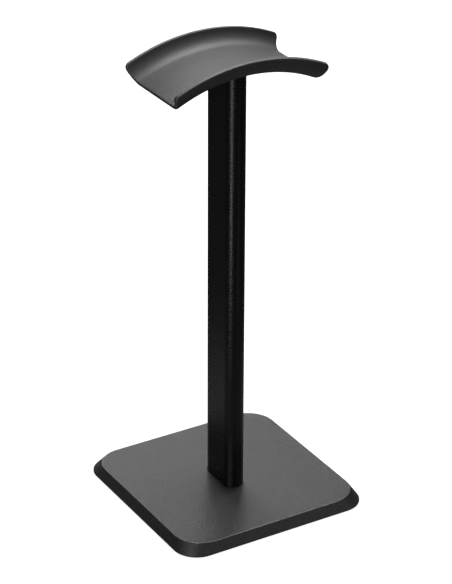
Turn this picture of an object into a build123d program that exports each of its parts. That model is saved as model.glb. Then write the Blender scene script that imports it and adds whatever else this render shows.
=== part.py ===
"""Headphone stand: weighted square base, flat-oval aluminium post, arched soft saddle.

Units are millimetres. +Z is up, the saddle's arch runs along X and its trough along Y.
The origin is on the surface the stand rests on, under the middle of the base.
"""
from build123d import *
from math import cos, radians, sin
import os

os.makedirs("parts", exist_ok=True)

# ---------------------------------------------------------------- driving dimensions
# Base, outside
BASE_SIDE = 120.0          # square, over the lip
BASE_CORNER_R = 14.5       # corner radius over the lip
TOP_CORNER_R = 16.5        # corner radius of the top face
BASE_TOP_Z = 7.3           # top face above the table
BASE_GAP = 1.0             # the feet hold the base this far off the table
LIP_HEIGHT = 0.8           # upright strip under the chamfer
CHAMFER_RUN = 3.2          # how far the sloped sides come in
EDGE_R = 0.4               # broken edge round the top face

# Base, inside
SKIN = 1.8                 # thickness of the cover's top
PLATE_T = 1.5              # bottom plate
RIM = 3.0                  # width of the cover's rim beside the bottom plate
LEDGE = 2.5                # ledge the bottom plate sits against
FIT_GAP = 0.2              # moulding clearance round the bottom plate
WINDOW_X = 15.0            # slot in the bottom plate that the post screws are reached through
WINDOW_Y = 27.0
WEIGHT_SIDE = 96.0
WEIGHT_T = 3.0
WEIGHT_CORNER_R = 6.0
WEIGHT_BOSS_GAP = 0.5      # clearance between the counterweight and the screw bosses

# Feet
FOOT_R = 6.5
FOOT_T = 1.5
FOOT_AT = 45.5             # distance of each foot from both centre planes
FOOT_EDGE_R = 0.5
FOOT_SEAT_GAP = 0.1        # clearance round each foot in its shallow seat

# Screws, as fractions of their head or shank radius
HEAD_RIM = 0.15            # upright rim of a countersunk head, in millimetres
HEAD_RECESS = 0.05         # how far a head sits below the face it is sunk in, in millimetres
HEAD_GAP = 0.2             # clearance round heads and shanks, in millimetres
CROSS_LENGTH = 1.1
CROSS_WIDTH = 0.26
CROSS_DEPTH = 0.55
CROSS_TAPER = 12.0         # degrees
TIP_LENGTH = 0.8
TIP_FLAT = 0.4

# Bottom-plate screws
PLATE_SCREW_AT = 34.0      # distance of each screw from both centre planes
PLATE_SCREW_R = 1.05
PLATE_SCREW_HEAD_R = 2.3
PLATE_SCREW_LENGTH = 4.8
BOSS_R = 3.2
BOSS_BORE_R = 1.1
BOSS_SPARE = 0.3           # depth left past the screw's tip

# Post
POST_X = 12.0              # thickness, across the flat faces
POST_Y = 28.7              # depth, over the two round noses
POST_WALL = 1.5
POST_SEAT_DEPTH = 1.0      # depth of the pocket in the base that the post stands in
POST_SEAT_GAP = 0.1        # clearance round the post in that pocket
PORT_Y = 9.3               # distance of each screw port from the middle
PORT_R = 1.85              # bore of a screw port
PORT_WALL = 1.35
POST_SCREW_R = 1.8
POST_SCREW_HEAD_R = 3.8
POST_SCREW_LENGTH = 20.0
SCREW_CLEARANCE_R = 2.25   # hole that a post screw passes through freely

# Saddle
FLOOR_Z = 264.3            # top of the trough's floor at the crown
FLOOR_R = 99.6             # arch radius of the floor
ARCH_HALF_ANGLE = 26.35    # degrees from the crown to each end
SADDLE_T = 2.6             # wall thickness
FLOOR_HALF_WIDTH = 17.0    # flat part of the floor, from the middle
SIDE_R = 8.0               # inner radius between the floor and the lips
LIP_FLARE = 8.9            # degrees by which the lips lean outwards
LIP_TOP = 8.3              # height of the lips above the floor
LIP_END_R = 3.2            # rounding of the lips' upper ends
TIP_EDGE_R = 0.6           # rounding of the lips' squared upper edges
SEAT_HALF_ANGLE = 4.0      # degrees of the arch that the flat seat on the post takes up, each side
TRIM_MARGIN = 1.0          # how far the end-rounding sector reaches past the saddle's underside
TRIM_SKIM = 0.02           # how far it stays clear of the lips' tops

# Saddle mount
FLANGE_X = 10.6
FLANGE_Y = 26.6
FLANGE_T = 1.2
LOCK_HOLE_R = 1.1          # holes in the flange that the moulded saddle flows through
LOCK_HOLE_Y = 5.0          # distance of each lock hole from the middle
STEM_X = 8.6
STEM_Y = 11.0
STEM_LENGTH = 18.0
STEM_LEAD_IN = 1.0         # chamfer that guides the stem into the post
CRUSH_RIB_R = 0.4          # ribs that grip the walls of the post
CRUSH_RIB_SINK = 0.2       # how far each rib's centre lies inside the stem's face
CRUSH_RIB_STOP = 2.0       # the ribs end this far above the stem's tip

# ---------------------------------------------------------------- worked-out levels
BASE_BOTTOM_Z = BASE_GAP
LIP_TOP_Z = BASE_BOTTOM_Z + LIP_HEIGHT
PLATE_TOP_Z = BASE_BOTTOM_Z + PLATE_T
CAVITY_TOP_Z = BASE_TOP_Z - SKIN
POST_BOTTOM_Z = BASE_TOP_Z - POST_SEAT_DEPTH
ARCH_AXIS_Z = FLOOR_Z - FLOOR_R
POST_TOP_Z = ARCH_AXIS_Z + (FLOOR_R - SADDLE_T) * cos(radians(SEAT_HALF_ANGLE))
WEIGHT_TOP_Z = CAVITY_TOP_Z
WEIGHT_BOTTOM_Z = WEIGHT_TOP_Z - WEIGHT_T

CORNERS = {
    "front_left": (-1, -1),
    "front_right": (1, -1),
    "back_left": (-1, 1),
    "back_right": (1, 1),
}


def write_part(builder, node_name):
    """Label a finished sub-part and write its STEP file."""
    builder.part.label = node_name
    export_step(builder.part, f"parts/{node_name}.step")


# ---------------------------------------------------------------- base cover
TOP_SIDE = BASE_SIDE - 2 * CHAMFER_RUN
INNER_SIDE = BASE_SIDE - 2 * RIM
CAVITY_SIDE = INNER_SIDE - 2 * LEDGE

with BuildPart() as base_cover:
    # Lip, then the sloped sides up to the top face
    with BuildSketch(Plane.XY.offset(BASE_BOTTOM_Z)):
        RectangleRounded(BASE_SIDE, BASE_SIDE, BASE_CORNER_R)
    extrude(amount=LIP_HEIGHT)
    with BuildSketch(Plane.XY.offset(LIP_TOP_Z)):
        RectangleRounded(BASE_SIDE, BASE_SIDE, BASE_CORNER_R)
    with BuildSketch(Plane.XY.offset(BASE_TOP_Z)):
        RectangleRounded(TOP_SIDE, TOP_SIDE, TOP_CORNER_R)
    loft(ruled=True)
    fillet(base_cover.faces().sort_by(Axis.Z)[-1].edges(), EDGE_R)

    # Rebate for the bottom plate, then the cavity for the counterweight
    with BuildSketch(Plane.XY.offset(BASE_BOTTOM_Z)):
        RectangleRounded(INNER_SIDE, INNER_SIDE, BASE_CORNER_R - RIM)
    extrude(amount=PLATE_T, mode=Mode.SUBTRACT)
    with BuildSketch(Plane.XY.offset(PLATE_TOP_Z)):
        RectangleRounded(CAVITY_SIDE, CAVITY_SIDE, BASE_CORNER_R - RIM - LEDGE)
    extrude(amount=CAVITY_TOP_Z - PLATE_TOP_Z, mode=Mode.SUBTRACT)

    # Bosses for the bottom-plate screws
    with BuildSketch(Plane.XY.offset(PLATE_TOP_Z)):
        with GridLocations(2 * PLATE_SCREW_AT, 2 * PLATE_SCREW_AT, 2, 2):
            Circle(BOSS_R)
    extrude(amount=CAVITY_TOP_Z - PLATE_TOP_Z)
    with BuildSketch(Plane.XY.offset(PLATE_TOP_Z)):
        with GridLocations(2 * PLATE_SCREW_AT, 2 * PLATE_SCREW_AT, 2, 2):
            Circle(BOSS_BORE_R)
    extrude(amount=PLATE_SCREW_LENGTH - PLATE_T + BOSS_SPARE, mode=Mode.SUBTRACT)

    # Pocket the post stands in, and the holes its screws pass through
    with BuildSketch(Plane.XY.offset(POST_BOTTOM_Z)):
        SlotOverall(POST_Y + 2 * POST_SEAT_GAP, POST_X + 2 * POST_SEAT_GAP, rotation=90)
    extrude(amount=POST_SEAT_DEPTH, mode=Mode.SUBTRACT)
    with BuildSketch(Plane.XY.offset(CAVITY_TOP_Z)):
        with GridLocations(0, 2 * PORT_Y, 1, 2):
            Circle(SCREW_CLEARANCE_R)
    extrude(amount=SKIN, mode=Mode.SUBTRACT)
write_part(base_cover, "base_cover")

# ---------------------------------------------------------------- base bottom plate
PLATE_SIDE = INNER_SIDE - 2 * FIT_GAP

with BuildPart() as base_bottom_plate:
    with BuildSketch(Plane.XY.offset(BASE_BOTTOM_Z)):
        RectangleRounded(PLATE_SIDE, PLATE_SIDE, BASE_CORNER_R - RIM - FIT_GAP)
        SlotOverall(WINDOW_Y, WINDOW_X, rotation=90, mode=Mode.SUBTRACT)
    extrude(amount=PLATE_T)
    # Shallow seats for the feet
    with BuildSketch(Plane.XY.offset(BASE_BOTTOM_Z)):
        with GridLocations(2 * FOOT_AT, 2 * FOOT_AT, 2, 2):
            Circle(FOOT_R + FOOT_SEAT_GAP)
    extrude(amount=FOOT_T - BASE_BOTTOM_Z, mode=Mode.SUBTRACT)
    # Countersunk holes, opening downwards
    with Locations(Plane.XY.offset(BASE_BOTTOM_Z).rotated((180, 0, 0))):
        with GridLocations(2 * PLATE_SCREW_AT, 2 * PLATE_SCREW_AT, 2, 2):
            CounterSinkHole(
                radius=PLATE_SCREW_R + HEAD_GAP,
                counter_sink_radius=PLATE_SCREW_HEAD_R + HEAD_GAP,
                depth=PLATE_T,
                counter_sink_angle=90,
            )
write_part(base_bottom_plate, "base_bottom_plate")

# ---------------------------------------------------------------- counterweight
with BuildPart() as counterweight:
    with BuildSketch(Plane.XY.offset(WEIGHT_BOTTOM_Z)):
        RectangleRounded(WEIGHT_SIDE, WEIGHT_SIDE, WEIGHT_CORNER_R)
        with GridLocations(2 * PLATE_SCREW_AT, 2 * PLATE_SCREW_AT, 2, 2):
            Circle(BOSS_R + WEIGHT_BOSS_GAP, mode=Mode.SUBTRACT)
    extrude(amount=WEIGHT_T)
    with Locations(Plane.XY.offset(WEIGHT_BOTTOM_Z).rotated((180, 0, 0))):
        with GridLocations(0, 2 * PORT_Y, 1, 2):
            CounterSinkHole(radius=SCREW_CLEARANCE_R, counter_sink_radius=POST_SCREW_HEAD_R + HEAD_GAP,
                            depth=WEIGHT_T, counter_sink_angle=90)
write_part(counterweight, "counterweight")

# ---------------------------------------------------------------- rubber feet
for corner, (side_x, side_y) in CORNERS.items():
    with BuildPart() as foot:
        with BuildSketch(Plane.XY.move(Location((side_x * FOOT_AT, side_y * FOOT_AT, 0)))):
            Circle(FOOT_R)
        extrude(amount=FOOT_T)
        fillet(foot.edges().group_by(Axis.Z)[0], FOOT_EDGE_R)
    write_part(foot, f"foot_{corner}")


def make_screw(x, y, head_z, head_r, shank_r, length):
    """Countersunk cross-head screw pointing up, its flat head face at head_z."""
    head_h = head_r - shank_r
    tip_h = TIP_LENGTH * shank_r
    with BuildPart() as screw:
        with BuildSketch(Plane((x, y, head_z), x_dir=(1, 0, 0), z_dir=(0, -1, 0))):
            with BuildLine():
                Polyline(
                    (0, 0),
                    (head_r, 0),
                    (head_r, HEAD_RIM),
                    (shank_r, HEAD_RIM + head_h),
                    (shank_r, length - tip_h),
                    (TIP_FLAT * shank_r, length),
                    (0, length),
                    close=True,
                )
            make_face()
        revolve(axis=Axis((x, y, head_z), (0, 0, 1)))
        with BuildSketch(Plane((x, y, head_z))):
            Rectangle(CROSS_LENGTH * head_r, CROSS_WIDTH * head_r)
            Rectangle(CROSS_WIDTH * head_r, CROSS_LENGTH * head_r)
        extrude(amount=CROSS_DEPTH * head_r, taper=CROSS_TAPER, mode=Mode.SUBTRACT)
    return screw


# ---------------------------------------------------------------- screws
for corner, (side_x, side_y) in CORNERS.items():
    plate_screw = make_screw(side_x * PLATE_SCREW_AT, side_y * PLATE_SCREW_AT, BASE_BOTTOM_Z + HEAD_RECESS,
                             PLATE_SCREW_HEAD_R, PLATE_SCREW_R, PLATE_SCREW_LENGTH)
    write_part(plate_screw, f"plate_screw_{corner}")

for end, side_y in (("front", -1), ("back", 1)):
    post_screw = make_screw(0, side_y * PORT_Y, WEIGHT_BOTTOM_Z + HEAD_RECESS,
                            POST_SCREW_HEAD_R, POST_SCREW_R, POST_SCREW_LENGTH)
    write_part(post_screw, f"post_screw_{end}")

# ---------------------------------------------------------------- post
with BuildPart() as post:
    with BuildSketch(Plane.XY.offset(POST_BOTTOM_Z)):
        SlotOverall(POST_Y, POST_X, rotation=90)
        SlotOverall(POST_Y - 2 * POST_WALL, POST_X - 2 * POST_WALL, rotation=90, mode=Mode.SUBTRACT)
        # Two screw ports, each tied to the walls by a cross web
        with GridLocations(0, 2 * PORT_Y, 1, 2):
            Circle(PORT_R + PORT_WALL)
            Rectangle(POST_X - POST_WALL, PORT_WALL)
        with GridLocations(0, 2 * PORT_Y, 1, 2):
            Circle(PORT_R, mode=Mode.SUBTRACT)
    extrude(amount=POST_TOP_Z - POST_BOTTOM_Z)
write_part(post, "post")

# ---------------------------------------------------------------- saddle mount
with BuildPart() as saddle_mount:
    with BuildSketch(Plane.XY.offset(POST_TOP_Z)):
        SlotOverall(FLANGE_Y, FLANGE_X, rotation=90)
        with GridLocations(0, 2 * LOCK_HOLE_Y, 1, 2):
            Circle(LOCK_HOLE_R, mode=Mode.SUBTRACT)
    extrude(amount=FLANGE_T)
    with BuildSketch(Plane.XY.offset(POST_TOP_Z)):
        Rectangle(STEM_X, STEM_Y)
    extrude(amount=-STEM_LENGTH)
    chamfer(saddle_mount.edges().group_by(Axis.Z)[0], STEM_LEAD_IN)
    with BuildSketch(Plane.XY.offset(POST_TOP_Z)):
        with GridLocations(STEM_X - 2 * CRUSH_RIB_SINK, STEM_Y / 2, 2, 2):
            Circle(CRUSH_RIB_R)
    extrude(amount=-(STEM_LENGTH - CRUSH_RIB_STOP))
write_part(saddle_mount, "saddle_mount")

# ---------------------------------------------------------------- saddle
FLARE = radians(LIP_FLARE)
SIDE_END_Z = SIDE_R * (1 - sin(FLARE))
LIP_RUN = (LIP_TOP - TIP_EDGE_R * (1 - sin(FLARE)) - SIDE_END_Z) / cos(FLARE)
TIP_FLAT_WIDTH = SADDLE_T - 2 * TIP_EDGE_R
HALF_ARCH = radians(ARCH_HALF_ANGLE)

# Section plane at one end of the arch: its x is the trough's width, its y the arch radius
arch_start = Plane((0, 0, ARCH_AXIS_Z), x_dir=(0, 1, 0), z_dir=(cos(HALF_ARCH), 0, sin(HALF_ARCH)))
arch_axis = Axis((0, 0, ARCH_AXIS_Z), (0, 1, 0))

with BuildPart() as saddle:
    with BuildSketch(arch_start):
        with BuildLine():
            floor_top = Line((0, FLOOR_R), (FLOOR_HALF_WIDTH, FLOOR_R))
            inner_side = JernArc(floor_top @ 1, floor_top % 1, SIDE_R, 90 - LIP_FLARE)
            inner_lip = Line(inner_side @ 1, inner_side @ 1 + (inner_side % 1) * LIP_RUN)
            tip_inner = JernArc(inner_lip @ 1, inner_lip % 1, TIP_EDGE_R, -90)
            tip_flat = Line(tip_inner @ 1, tip_inner @ 1 + (tip_inner % 1) * TIP_FLAT_WIDTH)
            tip_outer = JernArc(tip_flat @ 1, tip_flat % 1, TIP_EDGE_R, -90)
            outer_lip = Line(tip_outer @ 1, tip_outer @ 1 + (tip_outer % 1) * LIP_RUN)
            outer_side = JernArc(outer_lip @ 1, outer_lip % 1, SIDE_R + SADDLE_T, -(90 - LIP_FLARE))
            Line(outer_side @ 1, (0, FLOOR_R - SADDLE_T))
            mirror(about=Plane.YZ)
        make_face()
    revolve(axis=arch_axis, revolution_arc=2 * ARCH_HALF_ANGLE)

    # Round the lips' upper ends: seen from the side the trough fits a sector with round corners
    sector_low = FLOOR_R - SADDLE_T - TRIM_MARGIN
    sector_high = FLOOR_R + LIP_TOP + TRIM_SKIM
    side_plane = Plane((0, 0, ARCH_AXIS_Z), x_dir=(1, 0, 0), z_dir=(0, -1, 0))
    with BuildSketch(side_plane) as side_view:
        with BuildLine():
            low_arc = CenterArc((0, 0), sector_low, 90 - ARCH_HALF_ANGLE, 2 * ARCH_HALF_ANGLE)
            high_arc = CenterArc((0, 0), sector_high, 90 - ARCH_HALF_ANGLE, 2 * ARCH_HALF_ANGLE)
            Line(low_arc @ 0, high_arc @ 0)
            Line(low_arc @ 1, high_arc @ 1)
        make_face()
        upper_corners = side_view.vertices().sort_by(SortBy.DISTANCE)[-2:]
        fillet(upper_corners, LIP_END_R)
    extrude(amount=BASE_SIDE, both=True, mode=Mode.INTERSECT)

    # Flat seat on the post, then the space that the mount's flange fills
    with BuildSketch(Plane.XY.offset(POST_TOP_Z)):
        SlotOverall(POST_Y, POST_X, rotation=90)
    extrude(amount=FLANGE_T)
    add(saddle_mount.part, mode=Mode.SUBTRACT)
write_part(saddle, "saddle")
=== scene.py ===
"""Headphone stand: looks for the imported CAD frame. Blender 4.5, metres, +Z up."""

import math

import bmesh
import bpy
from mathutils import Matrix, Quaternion, Vector


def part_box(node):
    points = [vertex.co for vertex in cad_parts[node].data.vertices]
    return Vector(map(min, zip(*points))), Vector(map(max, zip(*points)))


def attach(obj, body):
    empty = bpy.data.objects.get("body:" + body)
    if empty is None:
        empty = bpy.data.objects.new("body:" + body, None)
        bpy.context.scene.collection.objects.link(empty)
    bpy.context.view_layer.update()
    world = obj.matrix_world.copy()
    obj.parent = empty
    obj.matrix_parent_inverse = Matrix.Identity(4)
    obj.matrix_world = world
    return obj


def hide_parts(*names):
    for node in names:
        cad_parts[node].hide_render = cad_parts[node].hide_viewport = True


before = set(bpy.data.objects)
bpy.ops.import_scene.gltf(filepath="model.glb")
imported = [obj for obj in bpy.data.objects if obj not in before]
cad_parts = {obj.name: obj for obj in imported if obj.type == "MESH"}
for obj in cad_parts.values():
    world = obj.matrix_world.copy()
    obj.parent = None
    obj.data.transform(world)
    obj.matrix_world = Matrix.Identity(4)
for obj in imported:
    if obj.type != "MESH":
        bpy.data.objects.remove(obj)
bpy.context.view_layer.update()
MM = 0.001

# ---------------------------------------------------------------- driving sizes, millimetres and degrees
# Camera
LENS = 150.0
VIEW_DISTANCE = 1350.5
VIEW_AZIMUTH = -30.96
VIEW_ELEVATION = 27.18
VIEW_ROLL = 0.28
TARGET_HEIGHT = 126.1

# Base
BASE_CORNER_R = 14.5
TOP_CORNER_R = 16.5
LIP_HEIGHT = 0.8
CHAMFER_RUN = 3.2
RIM = 3.0
LEDGE = 2.5
SKIN = 1.8
EDGE_R = 0.4
PLATE_T = 1.5
CAVITY_FLOOR_R = 0.2
LEDGE_R = 0.1
RIM_INNER_R = 0.2
RIM_OUTER_R = 0.25
LIP_R = 0.3
TOP_BORDER = 6.0
POCKET_GAP = 0.1
POCKET_EDGE_R = 0.15
POCKET_BORDER = 1.0
POST_SEAT_DEPTH = 1.0
BOSS_AT = 34.0
BOSS_R = 3.2
BOSS_BORE_R = 1.1
BOSS_END = 0.6

# Post
POST_HALF_DEPTH = 14.35
POST_WALL = 1.5
PORT_Y = 9.3
PORT_R = 1.85
PORT_WALL = 1.35
POST_EDGE_R = 0.25
SCREW_CLEARANCE_R = 2.25

# Saddle
FLOOR_R = 99.6
ARCH_HALF_ANGLE = 26.35
SADDLE_T = 2.6
FLOOR_HALF_WIDTH = 17.0
SIDE_R = 8.0
LIP_FLARE = 8.9
LIP_TOP = 8.3
LIP_END_R = 3.2
TIP_RISE = 1.38
EDGE_SQUARENESS = 0.45  # 1 rounds the sheet's edge fully, and less makes it squarer
SEAT_RISE = 1.2
SEAT_EDGE_R = 0.1

# Feet
FOOT_CENTRE_R = 0.6
FOOT_GROOVE_IN = 1.7
FOOT_GROOVE_WIDTH = 0.9
FOOT_GROOVE_SLOPE = 0.2
FOOT_GROOVE_DEPTH = 0.25
FOOT_SMALL_R = 0.1
FOOT_RIM_R = 0.5

# Mesh
MERGE_DISTANCE = 1e-7
SMOOTH_ANGLE = 35.0
SADDLE_SMOOTH_ANGLE = 60.0

# Camera's far limit, floor and lights: metres, and tones from 0 to 1
CLIP_END = 60.0
FLOOR_REACH = 15.0
FLOOR_TONE = 0.3
FLOOR_GLOW = 0.93
TABLE_HEIGHT = 0.0001
# The table's tones are a painted pool of light on a dark sheet: lighter within the first distance, darker
# beyond the second.
TABLE_POOL_START = 0.12
TABLE_POOL_END = 0.22
TABLE_POOL_LIT_TONE = 0.12
TABLE_POOL_SHADED_TONE = 0.034
LIGHT_DISTANCE = 1.3
CARD_HEIGHT = 0.002
LIGHT_AIM_HEIGHT = 0.13


# ---------------------------------------------------------------- mesh helpers
class Shell:
    """Collects the points (millimetres) and faces of one piece."""

    def __init__(self):
        self.points = []
        self.faces = []

    def ring(self, points):
        """Adds points and returns their indices."""
        first = len(self.points)
        self.points += [tuple(p) for p in points]
        return list(range(first, len(self.points)))

    def bridge(self, a, b, closed=True):
        """Quads between two rows of equal length; each quad runs a, a+1, b+1, b."""
        count = len(a) if closed else len(a) - 1
        for i in range(count):
            j = (i + 1) % len(a)
            self.faces.append((a[i], a[j], b[j], b[i]))

    def loft(self, rows, closed=True):
        """Bridges each row to the next."""
        for a, b in zip(rows, rows[1:]):
            self.bridge(a, b, closed)

    def cap(self, ring, flip=False):
        """One flat face over a ring."""
        self.faces.append(tuple(reversed(ring)) if flip else tuple(ring))

    def fill(self, rings):
        """Flat face bounded by the first ring, with the others as holes."""
        mesh = bmesh.new()
        where = {}
        edges = []
        for ring in rings:
            verts = [mesh.verts.new(self.points[i]) for i in ring]
            where.update(zip(verts, ring))
            edges += [mesh.edges.new((verts[k], verts[k - 1])) for k in range(len(verts))]
        made = bmesh.ops.triangle_fill(mesh, use_beauty=True, use_dissolve=False, edges=edges)
        for face in (g for g in made["geom"] if isinstance(g, bmesh.types.BMFace)):
            self.faces.append(tuple(where[v] for v in face.verts))
        mesh.free()

    def build(self, name, smooth_angle=SMOOTH_ANGLE):
        """Makes the mesh object: smooth up to the angle between faces, flats kept flat."""
        data = bpy.data.meshes.new(name)
        data.from_pydata([Vector(p) * MM for p in self.points], [], self.faces)
        mesh = bmesh.new()
        mesh.from_mesh(data)
        bmesh.ops.remove_doubles(mesh, verts=mesh.verts, dist=MERGE_DISTANCE)
        bmesh.ops.recalc_face_normals(mesh, faces=mesh.faces)
        mesh.to_mesh(data)
        mesh.free()
        data.shade_smooth()
        data.set_sharp_from_angle(angle=math.radians(smooth_angle))
        obj = bpy.data.objects.new(name, data)
        bpy.context.scene.collection.objects.link(obj)
        weighted = obj.modifiers.new("weighted_normals", "WEIGHTED_NORMAL")
        weighted.mode = "FACE_AREA"
        weighted.keep_sharp = True
        return obj


def rounded_square(half, radius, z, steps=16):
    """Ring round a square with rounded corners, anticlockwise from its +X side."""
    points = []
    for quarter in range(4):
        mid = math.radians(45 + 90 * quarter)
        cx = math.copysign(half - radius, math.cos(mid))
        cy = math.copysign(half - radius, math.sin(mid))
        for k in range(steps + 1):
            a = math.radians(90 * (quarter + k / steps))
            points.append((cx + radius * math.cos(a), cy + radius * math.sin(a), z))
    return points


def obround(half_x, half_y, z, steps=32):
    """Ring round a slot shape whose round ends point along Y, anticlockwise from +X."""
    points = []
    for end in (0, 1):
        cy = (half_y - half_x) * (1 if end == 0 else -1)
        for k in range(2 * steps + 1):
            a = math.radians(180 * (end + k / (2 * steps)))
            points.append((half_x * math.cos(a), cy + half_x * math.sin(a), z))
    return points


def circle(cx, cy, radius, z, steps=32):
    """Ring round a circle."""
    turn = [2 * math.pi * k / steps for k in range(steps)]
    return [(cx + radius * math.cos(a), cy + radius * math.sin(a), z) for a in turn]


def arc(cx, cy, radius, start, end, steps):
    """Points along an arc between two angles in degrees."""
    angles = [math.radians(start + (end - start) * k / steps) for k in range(steps + 1)]
    return [(cx + radius * math.cos(a), cy + radius * math.sin(a)) for a in angles]


def soften(corners, steps=5):
    """Rounds an open line of (x, z, radius) corners and returns its (x, z) points."""
    line = [Vector(corners[0][:2])]
    for before, corner, after in zip(corners, corners[1:], corners[2:]):
        here = Vector(corner[:2])
        radius = corner[2]
        to_a = (Vector(before[:2]) - here).normalized()
        to_b = (Vector(after[:2]) - here).normalized()
        if radius == 0:
            line.append(here)
            continue
        half = to_a.angle(to_b) / 2
        centre = here + (to_a + to_b).normalized() * radius / math.sin(half)
        start = here + to_a * radius / math.tan(half) - centre
        end = here + to_b * radius / math.tan(half) - centre
        for k in range(steps + 1):
            line.append(centre + start.slerp(end, k / steps).normalized() * radius)
    line.append(Vector(corners[-1][:2]))
    return line


def softened_side(bottom, top, radius, steps):
    """Outsets and heights up an upright side with rounded lower and upper corners."""
    inward = -1
    corners = [(inward, bottom, 0), (0, bottom, radius), (0, top, radius), (inward, top, 0)]
    return soften(corners, steps)[1:-1]


# ---------------------------------------------------------------- base cover
def make_base_cover():
    """Moulded cover: chamfered outside, pocket for the post, rebate and cavity below."""
    low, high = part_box("base_cover")
    half = high.x / MM
    bottom = low.z / MM
    top = high.z / MM
    seat = top - POST_SEAT_DEPTH
    ceiling = top - SKIN
    plate_top = bottom + PLATE_T
    lip_top = bottom + LIP_HEIGHT
    post_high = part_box("post")[1]
    pocket_x = post_high.x / MM + POCKET_GAP
    pocket_y = post_high.y / MM + POCKET_GAP

    shell = Shell()
    # Cavity wall, rim, lip, chamfer and border of the top face, in order: inset, height, rounding
    outline = soften([
        (RIM + LEDGE, ceiling, 0),
        (RIM + LEDGE, plate_top, CAVITY_FLOOR_R),
        (RIM, plate_top, LEDGE_R),
        (RIM, bottom, RIM_INNER_R),
        (0, bottom, RIM_OUTER_R),
        (0, lip_top, LIP_R),
        (CHAMFER_RUN, top, EDGE_R),
        (CHAMFER_RUN + TOP_BORDER, top, 0),
    ])
    rings = []
    for inset, z in outline:
        up = max(z - lip_top, 0) / (top - lip_top)
        grown = (TOP_CORNER_R + CHAMFER_RUN - BASE_CORNER_R) * up
        radius = BASE_CORNER_R - inset + (grown if inset < RIM + LEDGE or z > ceiling else 0)
        rings.append(shell.ring(rounded_square(half - inset, radius, z)))
    shell.loft(rings)

    # Pocket the post stands in
    wall = soften([(POCKET_BORDER, top, 0), (0, top, POCKET_EDGE_R), (0, seat, 0)], steps=3)
    pocket = [shell.ring(obround(pocket_x + out, pocket_y + out, z)) for out, z in wall]
    shell.loft(pocket)
    shell.fill([rings[-1], pocket[0]])

    # Skin under the post, with the two screw holes
    above = [shell.ring(circle(0, side * PORT_Y, SCREW_CLEARANCE_R, seat)) for side in (-1, 1)]
    below = [shell.ring(circle(0, side * PORT_Y, SCREW_CLEARANCE_R, ceiling)) for side in (-1, 1)]
    for a, b in zip(above, below):
        shell.bridge(a, b)
    shell.fill([pocket[-1], *above])

    # Bosses for the bottom plate's screws
    roots = []
    for x in (-BOSS_AT, BOSS_AT):
        for y in (-BOSS_AT, BOSS_AT):
            outline = [
                (BOSS_R, ceiling),
                (BOSS_R, plate_top),
                (BOSS_BORE_R, plate_top),
                (BOSS_BORE_R, ceiling + BOSS_END),
            ]
            boss = [shell.ring(circle(x, y, radius, z)) for radius, z in outline]
            shell.loft(boss)
            shell.cap(boss[-1])
            roots.append(boss[0])
    shell.fill([rings[0], *below, *roots])
    return shell.build("base_cover_shell")


# ---------------------------------------------------------------- post
def make_post():
    """Extruded flat-oval bar with its screw ports, ends lightly broken."""
    low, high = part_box("post")
    half_x = high.x / MM
    half_y = POST_HALF_DEPTH
    bottom = low.z / MM
    top = high.z / MM
    nose_y = half_y - half_x
    inner = half_x - POST_WALL
    port_out = PORT_R + PORT_WALL
    web_in = PORT_Y - PORT_WALL / 2
    web_out = PORT_Y + PORT_WALL / 2
    port_angle = math.degrees(math.asin((PORT_Y - web_in) / port_out))
    nose_angle = math.degrees(math.asin((web_out - nose_y) / inner))

    # Hollow between the ports, then the thin hollow behind each nose
    upper = arc(0, PORT_Y, port_out, -port_angle, -180 + port_angle, 20)
    middle = [(inner, -web_in), (inner, web_in), *upper, (-inner, web_in), (-inner, -web_in)]
    middle += [(x, -y) for x, y in reversed(upper)]
    nose = arc(0, nose_y, inner, nose_angle, 180 - nose_angle, 32)
    nose += arc(0, PORT_Y, port_out, 180 - port_angle, port_angle, 20)
    bores = [middle, nose, [(x, -y) for x, y in nose]]
    bores += [[p[:2] for p in circle(0, side * PORT_Y, PORT_R, 0)] for side in (-1, 1)]

    shell = Shell()
    side = softened_side(bottom, top, POST_EDGE_R, steps=3)
    rings = [shell.ring(obround(half_x + out, half_y + out, z)) for out, z in side]
    shell.loft(rings)
    ends = []
    for z in (bottom, top):
        ends.append([shell.ring([(x, y, z) for x, y in bore]) for bore in bores])
    for a, b in zip(*ends):
        shell.bridge(a, b)
    shell.fill([rings[0], *ends[0]])
    shell.fill([rings[-1], *ends[1]])
    return shell.build("post_bar")


# ---------------------------------------------------------------- saddle
def saddle_row(rho, psi, width):
    """One line along the arch: its radius, its y, and the section's normal there."""
    return {"rho": rho, "y": width, "normal": (-math.sin(psi), math.cos(psi))}


def side_at(rho):
    """Where the trough's middle surface is at a height rho: how far it has turned up, and its y."""
    side_r = SIDE_R + SADDLE_T / 2
    centre = FLOOR_R + SIDE_R
    lean = math.radians(90 - LIP_FLARE)
    psi = math.acos(min((centre - rho) / side_r, 1.0))
    if psi <= lean:
        return psi, FLOOR_HALF_WIDTH + side_r * math.sin(psi)
    above = rho - centre + side_r * math.cos(lean)
    return lean, FLOOR_HALF_WIDTH + side_r * math.sin(lean) + above * math.tan(math.radians(LIP_FLARE))


def saddle_rows():
    """Rows of the trough's middle surface, from the crown line out to one lip."""
    low = FLOOR_R - SADDLE_T / 2
    corner_r = LIP_END_R - SADDLE_T / 2
    corner = FLOOR_R + LIP_TOP - TIP_RISE - corner_r
    rows = []
    flat_steps = 12
    for k in range(flat_steps):
        rows.append(saddle_row(low, 0, FLOOR_HALF_WIDTH * k / flat_steps))
    side_steps = 20
    for k in range(side_steps):
        rho = low + (corner - low) * (k / side_steps) ** 2
        rows.append(saddle_row(rho, *side_at(rho)))
    corner_steps = 12
    for k in range(corner_steps + 1):
        rho = corner + corner_r * math.sin(math.radians(90 * k / corner_steps))
        rows.append(saddle_row(rho, *side_at(rho)))
    return rows


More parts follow.
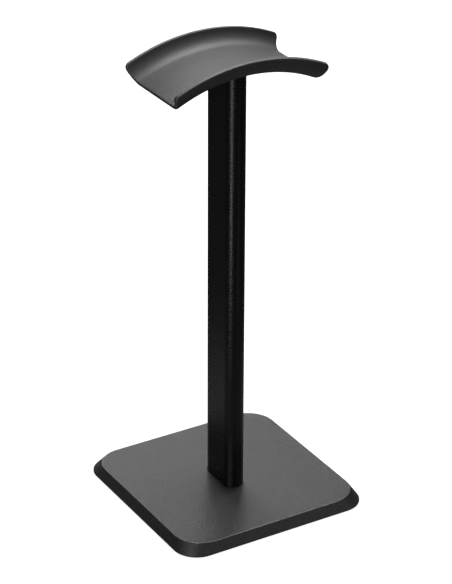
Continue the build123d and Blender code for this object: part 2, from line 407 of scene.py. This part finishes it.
def make_saddle():
    """Soft arched trough: one sheet of even thickness with rolled lips and softened ends."""
    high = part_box("saddle")[1]
    axis_z = high.z / MM - (FLOOR_R + LIP_TOP)
    half_t = SADDLE_T / 2
    corner_r = LIP_END_R - half_t
    tip = FLOOR_R + LIP_TOP - TIP_RISE
    half_arch = math.radians(ARCH_HALF_ANGLE)
    columns = 96
    half_rows = saddle_rows()
    mirrored = []
    for row in reversed(half_rows[1:]):
        across, up = row["normal"]
        mirrored.append({"rho": row["rho"], "y": -row["y"], "normal": (-across, up)})
    rows = mirrored + half_rows

    grid = []
    for row in rows:
        over = max(0.0, row["rho"] - (tip - corner_r))
        recess = half_t + corner_r - math.sqrt(max(corner_r ** 2 - over ** 2, 0.0))
        reach = half_arch - recess / row["rho"]
        line = []
        for k in range(columns + 1):
            a = reach * (2 * k / columns - 1)
            out = Vector((math.sin(a), 0, math.cos(a)))
            point = out * row["rho"] + Vector((0, row["y"], axis_z))
            normal = out * row["normal"][1] + Vector((0, row["normal"][0], 0))
            line.append((point, normal))
        grid.append(line)

    shell = Shell()
    sheets = {}
    for side in (1, -1):
        sheets[side] = [shell.ring([p + n * (side * half_t) for p, n in line]) for line in grid]
        shell.loft(sheets[side], closed=False)

    # Edge all round: squared, with softly rounded corners
    last = len(rows) - 1
    border = [(0, k) for k in range(columns)]
    border += [(k, columns) for k in range(last)]
    border += [(last, columns - k) for k in range(columns)]
    border += [(last - k, 0) for k in range(last)]
    total = len(border)
    places = [grid[i][j] for i, j in border]
    rolls = []
    roll_steps = 14
    for step in range(1, roll_steps):
        phi = math.pi * step / roll_steps
        line = []
        for k, (point, normal) in enumerate(places):
            along = (places[(k + 1) % total][0] - places[k - 1][0]).normalized()
            outward = along.cross(normal).normalized()
            reach = half_t * math.sin(phi) ** EDGE_SQUARENESS
            lift = half_t * math.copysign(abs(math.cos(phi)) ** EDGE_SQUARENESS, math.cos(phi))
            line.append(point + outward * reach + normal * lift)
        rolls.append(shell.ring(line))
    top_edge = [sheets[1][i][j] for i, j in border]
    bottom_edge = [sheets[-1][i][j] for i, j in border]
    shell.loft([top_edge, *rolls, bottom_edge])
    return shell.build("saddle_trough", smooth_angle=SADDLE_SMOOTH_ANGLE)


def make_saddle_seat():
    """Flat pad moulded under the saddle's crown, the shape of the post's end."""
    post_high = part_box("post")[1]
    bottom = post_high.z / MM
    top = bottom + SEAT_RISE
    half_x = post_high.x / MM
    shell = Shell()
    side = softened_side(bottom, top, SEAT_EDGE_R, steps=2)
    rings = [shell.ring(obround(half_x + out, POST_HALF_DEPTH + out, z)) for out, z in side]
    shell.loft(rings)
    shell.cap(rings[0], flip=True)
    shell.cap(rings[-1])
    return shell.build("saddle_seat")


# ---------------------------------------------------------------- feet
def make_foot(node):
    """Rubber pad with a softened rim and a shallow ring groove underneath."""
    low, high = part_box(node)
    cx = (low.x + high.x) / 2 / MM
    cy = (low.y + high.y) / 2 / MM
    radius = (high.x - low.x) / 2 / MM
    top = high.z / MM
    outer = radius - FOOT_GROOVE_IN
    inner = outer - FOOT_GROOVE_WIDTH
    profile = soften([
        (FOOT_CENTRE_R, 0, 0),
        (inner, 0, FOOT_SMALL_R),
        (inner + FOOT_GROOVE_SLOPE, FOOT_GROOVE_DEPTH, FOOT_SMALL_R),
        (outer - FOOT_GROOVE_SLOPE, FOOT_GROOVE_DEPTH, FOOT_SMALL_R),
        (outer, 0, FOOT_SMALL_R),
        (radius, 0, FOOT_RIM_R),
        (radius, top, FOOT_SMALL_R),
        (FOOT_CENTRE_R, top, 0),
    ], steps=4)
    shell = Shell()
    rings = [shell.ring(circle(cx, cy, r, z, steps=48)) for r, z in profile]
    shell.loft(rings)
    shell.cap(rings[0], flip=True)
    shell.cap(rings[-1])
    return shell.build(f"{node}_pad")


# ---------------------------------------------------------------- materials
class Look:
    """A Principled material and the node shortcuts used to build it."""

    def __init__(self, name, roughness, **constants):
        self.material = bpy.data.materials.new(name)
        self.material.use_nodes = True
        self.tree = self.material.node_tree
        self.shader = self.tree.nodes["Principled BSDF"]
        self.shader.inputs["Roughness"].default_value = roughness
        for socket, value in constants.items():
            self.shader.inputs[socket.replace("_", " ")].default_value = value
        self.place = self.tree.nodes.new("ShaderNodeTexCoord").outputs["Object"]

    def node(self, kind, links=(), **settings):
        """Adds a node; links are (input, output) pairs and settings are its properties or inputs."""
        node = self.tree.nodes.new(kind)
        for key, value in settings.items():
            if hasattr(node, key):
                setattr(node, key, value)
            else:
                node.inputs[key.replace("_", " ")].default_value = value
        for socket, output in links:
            self.tree.links.new(output, node.inputs[socket])
        return node

    def drive(self, socket, output):
        """Feeds a shader socket from a node."""
        self.tree.links.new(output, self.shader.inputs[socket])

    def stretched(self, x, y, z):
        """Coordinates scaled along each axis, for grain that runs one way."""
        return self.node("ShaderNodeMapping", [("Vector", self.place)], Scale=(x, y, z)).outputs["Vector"]

    def noise(self, grain_mm, detail=3.0, rough=0.55, place=None):
        """Noise whose features are about grain_mm across."""
        links = [("Vector", place or self.place)]
        return self.node("ShaderNodeTexNoise", links, Scale=1.0 / (grain_mm * MM), Detail=detail,
                         Roughness=rough).outputs["Fac"]

    def pebbles(self, grain_mm, place=None):
        """Rounded cells about grain_mm across, 0 at their middles."""
        links = [("Vector", place or self.place)]
        return self.node("ShaderNodeTexVoronoi", links, feature="SMOOTH_F1", Scale=1.0 / (grain_mm * MM),
                         Smoothness=0.6).outputs["Distance"]

    def spread(self, value, low, high, start=0.3, end=0.7):
        """Maps the stretch start to end onto low to high."""
        made = self.node("ShaderNodeMapRange", [("Value", value)])
        for socket, number in (("From Min", start), ("From Max", end), ("To Min", low), ("To Max", high)):
            made.inputs[socket].default_value = number
        return made.outputs["Result"]

    def combine(self, operation, a, b):
        """One arithmetic step between two node outputs."""
        made = self.node("ShaderNodeMath", operation=operation)
        self.tree.links.new(a, made.inputs[0])
        self.tree.links.new(b, made.inputs[1])
        return made.outputs["Value"]

    def edges(self, radius_mm):
        """1 on edges sharper than the radius, 0 on flat and gently curved faces."""
        round_normal = self.node("ShaderNodeBevel", samples=6, Radius=radius_mm * MM).outputs["Normal"]
        true_normal = self.node("ShaderNodeNewGeometry").outputs["Normal"]
        dot = self.node("ShaderNodeVectorMath", operation="DOT_PRODUCT")
        self.tree.links.new(round_normal, dot.inputs[0])
        self.tree.links.new(true_normal, dot.inputs[1])
        return self.spread(dot.outputs["Value"], 1.0, 0.0, start=0.93, end=0.995)

    def broken_edge(self):
        """1 on the narrow rounding between a level top face and the slopes beside it."""
        normal = self.node("ShaderNodeNewGeometry").outputs["Normal"]
        up = self.node("ShaderNodeSeparateXYZ", [("Vector", normal)]).outputs["Z"]
        below_top = self.spread(up, 1.0, 0.0, start=0.97, end=0.999)
        above_slope = self.spread(up, 0.0, 1.0, start=0.72, end=0.8)
        return self.combine("MULTIPLY", below_top, above_slope)

    def mix(self, factor, colour_a, colour_b):
        """Blends two colours, each fixed or from a node, by a varying factor."""
        made = self.node("ShaderNodeMix", data_type="RGBA")
        self.tree.links.new(factor, made.inputs["Factor"])
        for socket, colour in zip((6, 7), (colour_a, colour_b)):
            if isinstance(colour, tuple):
                made.inputs[socket].default_value = (*colour, 1.0)
            else:
                self.tree.links.new(colour, made.inputs[socket])
        return made.outputs[2]

    def worn(self, surface, bare, radius_mm, patch_mm):
        """Surface colour with its edges rubbed towards a bare colour, in uneven patches."""
        patches = self.spread(self.noise(patch_mm, detail=4.0), 0.15, 1.0)
        return self.mix(self.combine("MULTIPLY", self.edges(radius_mm), patches), surface, bare)

    def bump(self, layers):
        """Chains bump layers of (height, depth in micrometres) into the shader's normal."""
        normal = None
        for height, depth in layers:
            links = [("Height", height)]
            if normal is not None:
                links.append(("Normal", normal))
            made = self.node("ShaderNodeBump", links, Distance=depth * 1e-6, Strength=1.0)
            normal = made.outputs["Normal"]
        self.drive("Normal", normal)


def grey(level, warmth=0.0):
    """Near-neutral colour, a little warm or cool."""
    return (level * (1 + warmth), level, level * (1 - warmth))


def base_plastic():
    """Black ABS from a spark-eroded mould: fine matte pebble, faint mottling, rubbed edges."""
    look = Look("base_plastic_grained", 0.42, Specular_IOR_Level=0.59)
    mottle = look.noise(1.3, detail=4.0)
    handled = look.noise(28.0, detail=2.0)
    body = look.mix(look.spread(mottle, 0.0, 1.0), grey(0.011, -0.01), grey(0.0175, -0.01))
    look.drive("Base Color", look.worn(body, grey(0.14), 0.5, 2.5))
    shine = look.combine("ADD", look.spread(mottle, -0.05, 0.05), look.spread(handled, 0.38, 0.46))
    polish = look.spread(look.broken_edge(), 0.0, 0.24, start=0.0, end=1.0)
    look.drive("Roughness", look.combine("SUBTRACT", shine, polish))
    ripple = look.noise(6.0, detail=1.0)
    grain = look.noise(0.9, detail=3.0)
    look.bump([(ripple, 8), (look.pebbles(0.42), 20), (grain, 140)])
    return look.material


def post_paint():
    """Black fine-texture powder coat: sandy relief over a soft orange peel."""
    look = Look("post_powder_coat", 0.34, Specular_IOR_Level=0.5)
    sand = look.noise(0.7, detail=3.0)
    body = look.mix(look.spread(look.noise(9.0), 0.0, 1.0), grey(0.0015), grey(0.003))
    look.drive("Base Color", look.worn(body, grey(0.06), 0.35, 1.8))
    shine = look.combine("ADD", look.spread(sand, -0.08, 0.08), look.spread(look.noise(22.0), 0.24, 0.3))
    look.drive("Roughness", shine)
    look.bump([(look.noise(3.2, detail=1.0), 14), (sand, 110)])
    return look.material


def saddle_tpu():
    """Black soft moulding: very fine matte grain, faint flow waves, lighter rubbed rims."""
    look = Look("saddle_soft_tpu", 0.62, Specular_IOR_Level=0.98)
    grain = look.noise(0.8, detail=4.0, rough=0.65)
    waves = look.noise(14.0, detail=2.0, place=look.stretched(0.5, 1.0, 1.0))
    body = look.mix(look.spread(grain, 0.0, 1.0), grey(0.0115), grey(0.0165))
    look.drive("Base Color", look.worn(body, grey(0.04), 0.6, 3.0))
    shine = look.combine("ADD", look.spread(grain, -0.05, 0.05), look.spread(waves, 0.59, 0.65))
    look.drive("Roughness", shine)
    look.bump([(waves, 20), (grain, 150)])
    return look.material


def plate_plastic():
    """Black polystyrene bottom plate: coarse mould grain and faint flow lines, scuffed flat."""
    look = Look("plate_plastic_grained", 0.55, Specular_IOR_Level=0.45)
    scuffs = look.noise(1.1, detail=6.0, rough=0.75, place=look.stretched(0.12, 1.0, 1.0))
    body = look.mix(look.spread(look.noise(2.4), 0.0, 1.0), grey(0.018), grey(0.028))
    scuffed = look.mix(look.spread(scuffs, 0.0, 0.35, start=0.58, end=0.72), body, grey(0.07))
    look.drive("Base Color", look.worn(scuffed, grey(0.06), 0.4, 2.0))
    look.drive("Roughness", look.spread(scuffs, 0.62, 0.44, start=0.35, end=0.65))
    look.bump([(look.pebbles(0.7), 22), (scuffs, 5)])
    return look.material


def foot_rubber():
    """Black rubber: chalky bloom, soft moulded grain, dust held in the texture."""
    look = Look("foot_rubber_matte", 0.85, Specular_IOR_Level=0.35, Sheen_Weight=0.12, Sheen_Roughness=0.6)
    bloom = look.noise(3.0, detail=5.0, rough=0.6)
    body = look.mix(look.spread(bloom, 0.0, 1.0), grey(0.014), grey(0.03, 0.01))
    look.drive("Base Color", look.worn(body, grey(0.07, 0.02), 0.3, 1.2))
    look.drive("Roughness", look.spread(bloom, 0.78, 0.92))
    look.bump([(look.noise(0.6, detail=3.0), 14)])
    return look.material


def plated_screw(name, tone, rubbed_tone, roughness):
    """Plated screw: fine drawn texture, plating cloudiness, brighter rubbed edges."""
    look = Look(name, roughness, Metallic=1.0)
    cloud = look.noise(0.9, detail=4.0)
    body = look.mix(look.spread(cloud, 0.0, 1.0), grey(tone * 0.8, 0.01), grey(tone, -0.01))
    look.drive("Base Color", look.worn(body, grey(rubbed_tone), 0.12, 0.6))
    look.drive("Roughness", look.spread(cloud, roughness - 0.06, roughness + 0.08))
    look.bump([(look.noise(0.16, detail=3.0), 3)])
    return look.material


def weight_steel():
    """Zinc-plated steel slab: rolling lines, faint spangle, sheared bright edges."""
    look = Look("weight_zinc_steel", 0.38, Metallic=1.0)
    spangle = look.pebbles(6.0)
    rolled = look.noise(0.7, detail=5.0, place=look.stretched(0.03, 1.0, 1.0))
    crystals = look.spread(spangle, 0.0, 1.0, start=0.2, end=0.8)
    body = look.mix(crystals, grey(0.42, -0.02), grey(0.53, -0.01))
    look.drive("Base Color", look.worn(body, grey(0.66), 0.4, 2.0))
    shine = look.combine("ADD", look.spread(rolled, -0.06, 0.06), look.spread(spangle, 0.32, 0.44))
    look.drive("Roughness", shine)
    look.bump([(rolled, 5)])
    return look.material


def mount_nylon():
    """Black glass-filled nylon: short fibre flecks, matte skin, faint sink."""
    look = Look("mount_nylon_filled", 0.5, Specular_IOR_Level=0.5)
    fibres = look.noise(0.5, detail=4.0, place=look.stretched(1.0, 1.0, 0.2))
    body = look.mix(look.spread(fibres, 0.0, 1.0, start=0.45, end=0.7), grey(0.016), grey(0.04))
    look.drive("Base Color", look.worn(body, grey(0.05), 0.3, 1.0))
    look.drive("Roughness", look.spread(fibres, 0.46, 0.58))
    look.bump([(look.noise(4.0, detail=1.0), 15), (fibres, 8)])
    return look.material


# ---------------------------------------------------------------- pieces
def show(obj, material, slot, *nodes):
    """Gives a piece its look and its body, and hides the CAD nodes it stands for; the slot argument is not
    used.
    """
    obj.data.materials.clear()
    obj.data.materials.append(material)
    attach(obj, "root")
    if nodes:
        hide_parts(*nodes)
    return obj


def dress(node, material):
    """Gives a CAD node that stays in view its look."""
    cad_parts[node].material_slots[0].material = material


CORNERS = ("front_left", "front_right", "back_left", "back_right")

show(make_base_cover(), base_plastic(), "base_plastic", "base_cover")
show(make_post(), post_paint(), "post_aluminium", "post")
tpu = saddle_tpu()
show(make_saddle(), tpu, "saddle_tpu", "saddle")
show(make_saddle_seat(), tpu, "saddle_tpu")
rubber = foot_rubber()
black_screw = plated_screw("screw_black_zinc", 0.09, 0.198, 0.34)
bright_screw = plated_screw("screw_bright_zinc", 0.55, 0.75, 0.28)
for corner in CORNERS:
    show(make_foot(f"foot_{corner}"), rubber, "foot_rubber", f"foot_{corner}")
    dress(f"plate_screw_{corner}", black_screw)
for side in ("front", "back"):
    dress(f"post_screw_{side}", bright_screw)
dress("base_bottom_plate", plate_plastic())
dress("counterweight", weight_steel())
dress("saddle_mount", mount_nylon())


# ---------------------------------------------------------------- camera, floor and light
def add_camera():
    """Long lens from the front left, a little above the stand."""
    back = toward(VIEW_AZIMUTH, VIEW_ELEVATION)
    data = bpy.data.cameras.new("camera")
    data.lens = LENS
    data.clip_end = CLIP_END
    camera = bpy.data.objects.new("camera", data)
    camera.location = Vector((0, 0, TARGET_HEIGHT * MM)) + back * VIEW_DISTANCE * MM
    camera.rotation_mode = "QUATERNION"
    roll = Quaternion((0, 0, 1), math.radians(VIEW_ROLL))
    camera.rotation_quaternion = (-back).to_track_quat("-Z", "Y") @ roll
    bpy.context.scene.collection.objects.link(camera)
    bpy.context.scene.camera = camera


def stage_sheet(name, height):
    """Wide level sheet under the stand."""
    shell = Shell()
    reach = FLOOR_REACH / MM
    ring = [(-reach, -reach), (reach, -reach), (reach, reach), (-reach, reach)]
    shell.cap(shell.ring([(x, y, height / MM) for x, y in ring]))
    sheet = shell.build(name)
    return sheet


def add_floor():
    """Pale floor that the camera sees, and the dim table that the stand reflects, with a painted pool of
    light: lighter near the stand, darker farther out.
    """
    pale = Look("floor_pale", 0.9, Specular_IOR_Level=0.0, Base_Color=(*grey(FLOOR_TONE), 1.0),
                Emission_Color=(1.0, 1.0, 1.0, 1.0), Emission_Strength=FLOOR_GLOW)
    floor = stage_sheet("floor", 0.0)
    floor.data.materials.append(pale.material)
    floor.visible_diffuse = False
    floor.visible_glossy = False

    dim = Look("table_painted_pool", 1.0, Specular_IOR_Level=0.0)
    # Painted pool of light: the table's colour fades from the lit tone near the stand to the shaded tone
    # farther out, in place of light falling off.
    near = dim.node("ShaderNodeVectorMath", [(0, dim.place)], operation="LENGTH").outputs["Value"]
    painted_pool = dim.spread(near, 0.0, 1.0, start=TABLE_POOL_START, end=TABLE_POOL_END)
    dim.drive("Base Color", dim.mix(painted_pool, grey(TABLE_POOL_LIT_TONE), grey(TABLE_POOL_SHADED_TONE)))
    table = stage_sheet("table", TABLE_HEIGHT)
    table.data.materials.append(dim.material)
    table.visible_camera = False
    table.visible_shadow = False


def toward(azimuth, elevation):
    """Unit vector from the stand; azimuth 0 is the front, 90 the +X side."""
    a = math.radians(azimuth)
    e = math.radians(elevation)
    return Vector((math.sin(a) * math.cos(e), -math.cos(a) * math.cos(e), math.sin(e)))


def add_area_light(name, width, length, power, place, turn):
    """Soft rectangular light that the camera doesn't see."""
    data = bpy.data.lights.new(name, "AREA")
    data.shape = "RECTANGLE"
    data.size = width
    data.size_y = length
    data.energy = power
    light = bpy.data.objects.new(name, data)
    light.location = place
    light.rotation_mode = "QUATERNION"
    light.rotation_quaternion = turn
    light.visible_camera = False
    bpy.context.scene.collection.objects.link(light)


def add_softbox(name, azimuth, elevation, width, height, power):
    """Light in the air, aimed at the middle of the stand."""
    out = toward(azimuth, elevation)
    place = Vector((0, 0, LIGHT_AIM_HEIGHT)) + out * LIGHT_DISTANCE
    add_area_light(name, width, height, power, place, (-out).to_track_quat("-Z", "Y"))


def add_card(name, azimuth, distance, width, length, power):
    """Glowing card lying on the table, which shows as a thin line of light along the post."""
    place = toward(azimuth, 0) * distance + Vector((0, 0, CARD_HEIGHT))
    face_up = Quaternion((1, 0, 0), math.pi)
    turn = Quaternion((0, 0, 1), math.radians(azimuth)) @ face_up
    add_area_light(name, width, length, power, place, turn)


def add_world():
    """White surround for the camera alone; the lights and the table shape what the stand shows."""
    world = bpy.data.worlds.new("world")
    bpy.context.scene.world = world
    world.use_nodes = True
    world.node_tree.nodes["Background"].inputs["Color"].default_value = (1, 1, 1, 1)
    world.node_tree.nodes["Background"].inputs["Strength"].default_value = 1.0
    world.cycles_visibility.diffuse = False
    world.cycles_visibility.glossy = False


# Name, azimuth, elevation, width, height, watts
SOFTBOXES = (
    ("back_top", 150, 70, 0.6, 0.5, 14.0),
    ("right_top", 97, 63, 0.5, 0.3, 8.6),
    ("back_middle", 150, 30, 0.5, 0.4, 0.7),
    ("back_low", 175, 22, 0.4, 0.4, 3.8),
    ("back_right_low", 150, 8, 0.4, 0.3, 1.5),
    ("left_low", 300, 8, 0.7, 0.6, 5.5),
    ("left_front", 301, 31, 0.4, 0.4, 3.2),
    ("front_right", 30, 27, 0.9, 0.5, 1.5),
)

# Name, azimuth, distance, width, length, watts
CARDS = (
    ("left_card", 297, 0.57, 0.08, 0.56, 0.5),
    ("right_card", 13, 0.4, 0.12, 0.36, 0.026),
)

add_camera()
add_floor()
for softbox in SOFTBOXES:
    add_softbox(*softbox)
for card in CARDS:
    add_card(*card)
add_world()
bpy.context.scene.view_settings.view_transform = "Standard"
